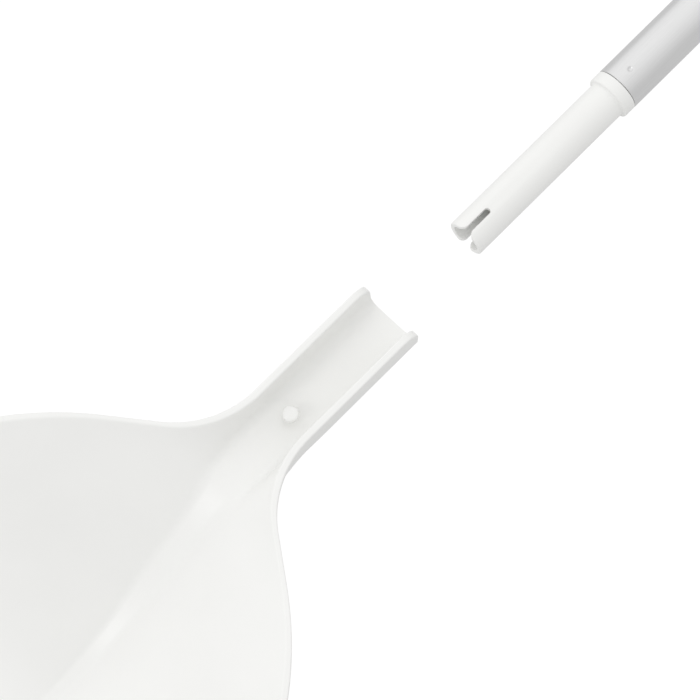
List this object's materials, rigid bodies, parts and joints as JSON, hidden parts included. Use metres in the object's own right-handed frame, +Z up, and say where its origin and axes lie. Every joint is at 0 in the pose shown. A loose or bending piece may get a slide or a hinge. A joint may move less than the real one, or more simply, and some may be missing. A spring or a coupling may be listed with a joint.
{
  "type": "dustpan and brush set",
  "caption": "White moulded dustpan with an open channel handle, and a hand brush whose forked, tube-mounted handle end slides into the channel and hooks under a stud.",
  "frame": {"origin": "bottom centre of the whole set's box, on the surface that it stands on", "axes": "+Y from the pan's mouth along the handle towards the brush head, +X to the pan's side, +Z up"},
  "size_m": [0.2434, 0.7698, 0.0855],
  "materials": {
    "pan_plastic": "moulded polypropylene, soft gloss, white",
    "lip_rubber": "soft moulded elastomer, matte, pale grey",
    "tube_aluminium": "satin anodised drawn tube",
    "washer_steel": "pressed steel washer, plated",
    "bristle_fibre": "extruded polyester bristle, pale grey"
  },
  "bodies": {
    "pan": {"pan_shell": "pan_plastic", "front_lip": "lip_rubber", "docking_stud": "pan_plastic", "stud_washer": "washer_steel"},
    "brush": {"brush_head": "pan_plastic", "fork_plug": "pan_plastic", "handle_tube": "tube_aluminium", "tuft_01": "bristle_fibre", "tuft_02": "bristle_fibre", "tuft_03": "bristle_fibre", "tuft_04": "bristle_fibre", "tuft_05": "bristle_fibre", "tuft_06": "bristle_fibre", "tuft_07": "bristle_fibre", "tuft_08": "bristle_fibre", "tuft_09": "bristle_fibre", "tuft_10": "bristle_fibre", "tuft_11": "bristle_fibre", "tuft_12": "bristle_fibre", "tuft_13": "bristle_fibre", "tuft_14": "bristle_fibre", "tuft_15": "bristle_fibre", "tuft_16": "bristle_fibre", "tuft_17": "bristle_fibre", "tuft_18": "bristle_fibre", "tuft_19": "bristle_fibre", "tuft_20": "bristle_fibre", "tuft_21": "bristle_fibre", "tuft_22": "bristle_fibre", "tuft_23": "bristle_fibre", "tuft_24": "bristle_fibre", "tuft_25": "bristle_fibre", "tuft_26": "bristle_fibre", "tuft_27": "bristle_fibre", "tuft_28": "bristle_fibre", "tuft_29": "bristle_fibre", "tuft_30": "bristle_fibre", "tuft_31": "bristle_fibre", "tuft_32": "bristle_fibre", "tuft_33": "bristle_fibre", "tuft_34": "bristle_fibre", "tuft_35": "bristle_fibre", "tuft_36": "bristle_fibre", "tuft_37": "bristle_fibre", "tuft_38": "bristle_fibre", "tuft_39": "bristle_fibre", "tuft_40": "bristle_fibre", "tuft_41": "bristle_fibre", "tuft_42": "bristle_fibre", "tuft_43": "bristle_fibre", "tuft_44": "bristle_fibre", "tuft_45": "bristle_fibre", "tuft_46": "bristle_fibre", "tuft_47": "bristle_fibre", "tuft_48": "bristle_fibre"}
  },
  "joints": [
    {"name": "brush_dock", "type": "slide", "parent": "pan", "child": "brush", "axis": [0, -1, 0], "range_m": [0, 0.1234]}
  ]
}
